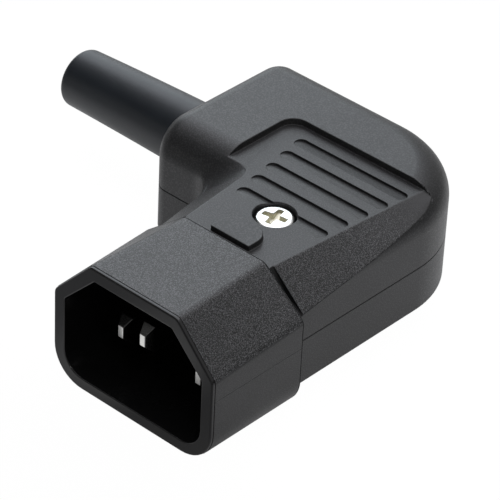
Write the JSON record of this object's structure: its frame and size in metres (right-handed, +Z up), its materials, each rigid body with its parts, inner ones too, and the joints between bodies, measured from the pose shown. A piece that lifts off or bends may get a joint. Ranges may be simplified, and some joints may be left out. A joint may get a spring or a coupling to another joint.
{
  "type": "rewireable appliance plug",
  "caption": "Angled rewireable appliance plug with a chamfered shroud round flat blades, a two-shell body closed by a screw, and a side cable boot.",
  "frame": {"origin": "middle of the shroud's mating face, on the mating axis", "axes": "+Y into the plug along the mating axis, +Z up, +X to the right looking into the shroud; the cable leaves towards -X"},
  "size_m": [0.0675, 0.0573, 0.0208],
  "materials": {
    "shell": "satin, partly grained",
    "boot": "satin",
    "plating": "nickel plated brass",
    "steel": "zinc plated"
  },
  "bodies": {
    "root": {"shroud": "shell", "cover": "shell", "base": "shell", "cord_grip": "shell", "boot": "boot", "live_pin": "plating", "neutral_pin": "plating", "earth_pin": "plating", "live_washer": "steel", "neutral_washer": "steel", "earth_washer": "steel", "live_screw": "steel", "neutral_screw": "steel", "earth_screw": "steel", "housing_screw": "steel", "housing_nut": "steel", "front_grip_screw": "steel", "rear_grip_screw": "steel"}
  },
  "joints": []
}
